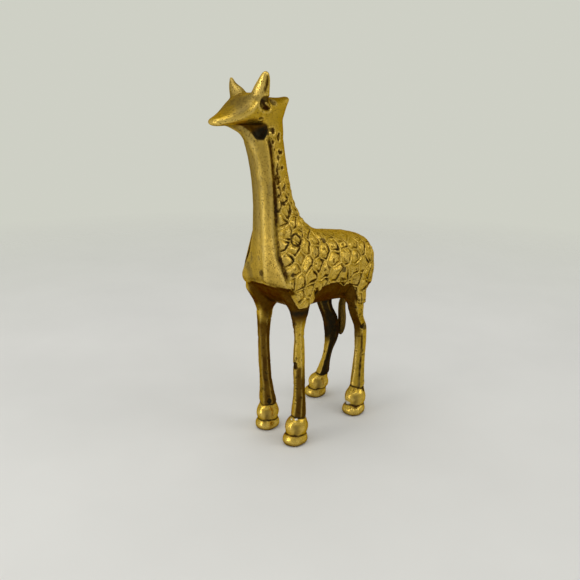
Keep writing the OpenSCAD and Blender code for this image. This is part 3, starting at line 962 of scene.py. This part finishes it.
def age(body):
    """Dark patina in hollows, polish on high places, and a painted dark brown reflection on downward
    faces.
    """
    points = body.points
    up = points[:, 2]
    hollow = ((relaxed(points, body.faces, 10) - points) * body.normals).sum(axis=1)
    body.paint("dark", smoothstep(0.10, 0.42, hollow) * 0.75)
    body.paint("bright", smoothstep(0.03, 0.2, -hollow) * 0.7)
    # Painted reflection: faces turned down are painted dark brown and lose their polish.
    downward = smoothstep(-0.12, -0.5, body.normals[:, 2]) * span(up, (12, 20, 150, 168))
    downward *= 1 - right_shoulder(points)
    body.paint("brown", downward)
    body.clean("bright", 0.7 * downward)
    stains = smoothstep(0.42, 0.62, layered_noise(points, 11.0, 101))
    body.paint("dark", 0.3 * stains)


# Cutting the skin into its castings
# ------------------------------

def snap_to_cuts(body):
    """Moves the points nearest each joint onto it, so that the castings part along clean lines."""
    points = body.points
    for axis, level, where in (
        (1, 0.0, points[:, 2] > REAR_JOINT - 4),
        (2, NECK_JOINT, np.ones(len(points), bool)),
        (2, FRONT_JOINT, points[:, 0] > 0),
        (2, REAR_JOINT, points[:, 0] < 0),
        (2, ANKLE, np.ones(len(points), bool)),
    ):
        cell = np.floor((points[:, axis] - GRID_LOW[axis]) / FINE)
        home = math.floor((level - GRID_LOW[axis]) / FINE)
        points[(cell == home) & where, axis] = level


def casting_of(places):
    """The name of the casting that each place lies on."""
    forward, left, up = places.T
    side = np.where(left > 0, "left", "right")
    end = np.where(forward > 0, "front", "rear")
    joint = np.where(forward > 0, FRONT_JOINT, REAR_JOINT)
    leg = np.char.add(np.char.add(end, "_leg_"), side)
    hoof = np.char.add(np.char.add(end, "_hoof_"), side)
    shell = np.char.add("body_shell_", side)
    head = np.full(len(up), "head")
    return np.select([up > NECK_JOINT, up > joint, up > ANKLE], [head, shell, leg], hoof)


def make_piece(node, body, faces, material):
    """One casting's own skin, which stands for its CAD node."""
    used, inverse = np.unique(faces, return_inverse=True)
    faces = inverse.reshape(faces.shape)
    places = (body.points[used] + HOME) * MM
    mesh = bpy.data.meshes.new(node + "_skin")
    mesh.from_pydata(places.tolist(), [], faces.tolist())
    mesh.shade_smooth()
    for name, values in body.finish_and_shading.items():
        attribute = mesh.attributes.new(name, "FLOAT", "POINT")
        attribute.data.foreach_set("value", values[used].astype(np.float32))
    mesh.normals_split_custom_set_from_vertices(body.normals[used].tolist())
    mesh.materials.append(material)
    piece = bpy.data.objects.new(node + "_skin", mesh)
    bpy.context.scene.collection.objects.link(piece)
    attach(piece, "root")
    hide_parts(node)


# Materials
# ------------------------------

class Nodes:
    """A short way to build a material's node tree."""

    def __init__(self, name):
        self.material = bpy.data.materials.new(name)
        self.material.use_nodes = True
        self.tree = self.material.node_tree
        self.tree.nodes.clear()

    def add(self, kind, values=None, **settings):
        node = self.tree.nodes.new(kind)
        for key, value in settings.items():
            setattr(node, key, value)
        for key, value in (values or {}).items():
            self.set(node.inputs[key], value)
        return node

    def set(self, socket, value):
        if isinstance(value, bpy.types.NodeSocket):
            self.tree.links.new(value, socket)
        else:
            socket.default_value = value

    def maths(self, operation, a, b):
        return self.add("ShaderNodeMath", {0: a, 1: b}, operation=operation).outputs[0]

    def plus(self, a, b):
        return self.maths("ADD", a, b)

    def times(self, a, b):
        return self.maths("MULTIPLY", a, b)

    def ramp(self, value, low, high, out_low=0.0, out_high=1.0):
        return self.add(
            "ShaderNodeMapRange",
            {"Value": value, "From Min": low, "From Max": high, "To Min": out_low, "To Max": out_high},
        ).outputs[0]

    def mix(self, factor, a, b):
        node = self.add("ShaderNodeMix", data_type="RGBA")
        self.set(node.inputs[0], factor)
        self.set(node.inputs[6], a)
        self.set(node.inputs[7], b)
        return node.outputs[2]

    def texture(self, scale, detail=3.0, roughness=0.55):
        place = self.add("ShaderNodeTexCoord").outputs["Object"]
        return self.add(
            "ShaderNodeTexNoise",
            {"Vector": place, "Scale": scale, "Detail": detail, "Roughness": roughness},
        ).outputs[0]

    def value_of(self, name):
        return self.add("ShaderNodeAttribute", attribute_name=name).outputs["Fac"]


GOLD = (0.66, 0.43, 0.055, 1)
PALE_GOLD = (0.86, 0.63, 0.17, 1)
OLIVE = (0.42, 0.27, 0.02, 1)
DULL_GOLD = (0.34, 0.245, 0.07, 1)
BROWN = (0.075, 0.028, 0.002, 1)
BLACK = (0.022, 0.018, 0.010, 1)
SILVER = (0.72, 0.71, 0.66, 1)


def brass(name, pits, roughness):
    """Old brass: gold on the worn high places, olive in between, brown and black in the hollows; pale
    gold also paints highlights, and brown and black also paint shade and dark reflections.
    """
    n = Nodes(name)
    dark = n.value_of("dark")
    bright = n.value_of("bright")
    brown = n.value_of("brown")
    dull = n.value_of("dull")
    silver = n.value_of("silver")
    broad = n.texture(60.0)
    fine = n.texture(420.0, 4.0, 0.65)
    speck = n.texture(1500.0, 2.0, 0.6)
    tone = n.ramp(n.plus(broad, n.times(fine, 0.5)), 0.55, 0.95)
    colour = n.mix(n.ramp(tone, 0, 1, 0.0, 0.6), GOLD, OLIVE)
    colour = n.mix(n.times(dull, n.ramp(fine, 0.3, 0.7, 0.8, 1.0)), colour, DULL_GOLD)
    # Pale gold for polish and for painted highlights.
    colour = n.mix(n.times(bright, 0.8), colour, PALE_GOLD)
    # Brown, mostly painted dark reflection and painted shade.
    colour = n.mix(n.times(brown, n.ramp(fine, 0.3, 0.7, 1.0, 0.90)), colour, BROWN)
    # Grime and painted shade, from dark, both turn the colour brown and black.
    grime_and_shade = n.times(dark, n.ramp(fine, 0.30, 0.62, 0.7, 1.2))
    black_share = n.plus(broad, n.times(n.times(dark, brown), 0.45))
    colour = n.mix(n.ramp(grime_and_shade, 0.10, 0.95), colour, n.mix(n.ramp(black_share, 0.35, 0.7), BROWN, BLACK))
    pit = n.times(n.ramp(speck, 0.58, 0.66), pits)
    colour = n.mix(pit, colour, BROWN)
    colour = n.mix(silver, colour, SILVER)
    worn = n.plus(n.times(dark, 0.6), n.times(fine, 0.6))
    worn = n.plus(worn, n.times(dull, 0.3))
    rough = n.ramp(worn, 0.2, 1.1, roughness, roughness + 0.30)
    height = n.maths("SUBTRACT", n.times(fine, 0.6), n.times(pit, 1.2))
    height = n.plus(height, n.times(n.texture(170.0, 2.0), 1.1))
    relief = n.add("ShaderNodeBump", {"Height": height, "Strength": 0.75, "Distance": 0.00025})
    shader = n.add(
        "ShaderNodeBsdfPrincipled",
        {
            "Base Color": colour,
            "Roughness": rough,
            "Metallic": 1.0,
            "Specular Tint": n.mix(0.55, colour, PALE_GOLD),
            "Normal": relief.outputs[0],
        },
    )
    output = n.add("ShaderNodeOutputMaterial")
    n.tree.links.new(shader.outputs[0], output.inputs[0])
    return n.material


def pale_floor():
    n = Nodes("studio_floor")
    tone = n.ramp(n.texture(9.0), 0.3, 0.7, 0.72, 0.76)
    colour = n.add("ShaderNodeCombineColor", {0: tone, 1: tone, 2: n.times(tone, 0.97)})
    shader = n.add("ShaderNodeBsdfPrincipled", {"Base Color": colour.outputs[0], "Roughness": 0.7})
    place = n.add("ShaderNodeTexCoord").outputs["Object"]
    reach = n.add("ShaderNodeVectorMath", {0: place}, operation="LENGTH").outputs["Value"]
    gone = n.add("ShaderNodeBsdfTransparent")
    fade = n.add(
        "ShaderNodeMixShader",
        {0: n.ramp(reach, 0.25, 0.8), 1: shader.outputs[0], 2: gone.outputs[0]},
    )
    output = n.add("ShaderNodeOutputMaterial")
    n.tree.links.new(fade.outputs[0], output.inputs[0])
    return n.material


# Stage, light and camera
# ------------------------------

def at(forward, left, up):
    """A place given from the spot between the hooves in mm, in the frame's metres."""
    return Vector((HOME + np.array([forward, left, up])) * MM)


def add_floor():
    size = 3.0
    corners = [(-size, -size, 0), (size, -size, 0), (size, size, 0), (-size, size, 0)]
    mesh = bpy.data.meshes.new("studio_floor")
    mesh.from_pydata(corners, [], [(0, 1, 2, 3)])
    mesh.materials.append(pale_floor())
    floor = bpy.data.objects.new("studio_floor", mesh)
    bpy.context.scene.collection.objects.link(floor)


CAMERA_PLACE = (274.8, 233.9, 195.6)
CAMERA_LENS = 38.48
CAMERA_HEADING = 42.5
CAMERA_PITCH = 16.93
CAMERA_ROLL = 0.83


def add_camera():
    """The viewer stands to the front left of the giraffe and looks slightly down at it."""
    heading = math.radians(CAMERA_HEADING)
    pitch = math.radians(CAMERA_PITCH)
    roll = math.radians(CAMERA_ROLL)
    level = Vector((-math.cos(heading), -math.sin(heading), 0))
    right = Vector((-math.sin(heading), math.cos(heading), 0))
    ahead = level * math.cos(pitch) - Vector((0, 0, 1)) * math.sin(pitch)
    upward = level * math.sin(pitch) + Vector((0, 0, 1)) * math.cos(pitch)
    across = right * math.cos(roll) + upward * math.sin(roll)
    upright = upward * math.cos(roll) - right * math.sin(roll)
    data = bpy.data.cameras.new("view")
    data.sensor_width = 36.0
    data.lens = CAMERA_LENS
    data.clip_start = 0.01
    camera = bpy.data.objects.new("view", data)
    turn = Matrix((across, upright, -ahead)).transposed()
    camera.matrix_world = Matrix.Translation(at(*CAMERA_PLACE)) @ turn.to_4x4()
    bpy.context.scene.collection.objects.link(camera)
    bpy.context.scene.camera = camera
    bpy.context.scene.view_settings.view_transform = "Standard"


def add_softbox(name, place, target, size, power, colour=(1, 1, 1)):
    data = bpy.data.lights.new(name, "AREA")
    data.shape = "RECTANGLE"
    data.size, data.size_y = size
    data.energy = power
    data.color = colour
    light = bpy.data.objects.new(name, data)
    light.location = place
    light.rotation_euler = (target - place).to_track_quat("-Z", "Y").to_euler()
    bpy.context.scene.collection.objects.link(light)


def add_light():
    middle = at(0, 0, HEIGHT / 2)
    add_softbox("window", at(-450, 780, 750), middle, (0.7, 0.7), 2.4, (1.0, 0.98, 0.95))
    add_softbox("front", at(800, -260, 300), middle, (0.35, 0.6), 1.8, (1.0, 0.97, 0.93))
    add_softbox("ceiling", at(250, -100, 1100), middle, (0.9, 0.9), 3.4)
    world = bpy.data.worlds.new("studio")
    world.use_nodes = True
    tree = world.node_tree
    tree.nodes.clear()
    backdrop = tree.nodes.new("ShaderNodeBackground")
    backdrop.inputs[0].default_value = (0.62, 0.63, 0.56, 1)
    surroundings = tree.nodes.new("ShaderNodeBackground")
    surroundings.inputs[0].default_value = (0.52, 0.52, 0.50, 1)
    choice = tree.nodes.new("ShaderNodeMixShader")
    path = tree.nodes.new("ShaderNodeLightPath")
    output = tree.nodes.new("ShaderNodeOutputWorld")
    tree.links.new(path.outputs["Is Camera Ray"], choice.inputs[0])
    tree.links.new(surroundings.outputs[0], choice.inputs[1])
    tree.links.new(backdrop.outputs[0], choice.inputs[2])
    tree.links.new(choice.outputs[0], output.inputs[0])
    bpy.context.scene.world = world


# Making the figurine
# ------------------------------

def sculpt_body():
    body = Skin(*skin(doubled(merged_body())))
    snap_to_cuts(body)
    body.normals = relaxed(point_normals(body.points, body.faces), body.faces, 2)
    castings = casting_of(body.points[body.faces].mean(axis=1))
    side = strap_side(body.points)
    cut_lower_edges(body)
    chase_cells(body, side)
    punch_neck(body, side)
    shape_and_shade_strap(body, side)
    shape_head(body)
    file_legs(body)
    shape_feet(body)
    fill_plugs(body)
    body.points[:, 2] = np.maximum(body.points[:, 2], 0)
    body.normals = point_normals(body.points, body.faces)
    age(body)
    return body, castings


def sculpt_tail():
    tail = Skin(*skin(doubled(even(distances("tail"), TAIL_EVENING))))
    tail.lift(0.18 * noise(stretched(tail.points, 1, 1, 0.4), 2.4, 111))
    tail.normals = point_normals(tail.points, tail.faces)
    # Painted shade: the tail, which hangs in the body's shadow, is painted brown and dark.
    tail.paint("brown", np.full(len(tail.points), 0.75))
    tail.paint("dark", 0.45 + 0.3 * noise(tail.points, 7.0, 112))
    age(tail)
    return tail


FINISHES = {
    "chased_brass": brass("chased_brass", 0.75, 0.36),
    "smooth_brass": brass("smooth_brass", 0.85, 0.27),
    "leg_brass": brass("leg_brass", 0.8, 0.30),
    "hoof_brass": brass("hoof_brass", 0.35, 0.22),
    "pin_brass": brass("pin_brass", 0.1, 0.30),
}
SLOTS = {part["node"]: part["material_slot"] for part in frame["record"]["subparts"]}

body, castings = sculpt_body()
for node in sorted(set(castings)):
    make_piece(node, body, body.faces[castings == node], FINISHES[SLOTS[node]])
tail = sculpt_tail()
make_piece("tail", tail, tail.faces, FINISHES[SLOTS["tail"]])
frame["nodes"]["dowel_pins"].data.materials.clear()
frame["nodes"]["dowel_pins"].data.materials.append(FINISHES["pin_brass"])

add_floor()
add_light()
add_camera()
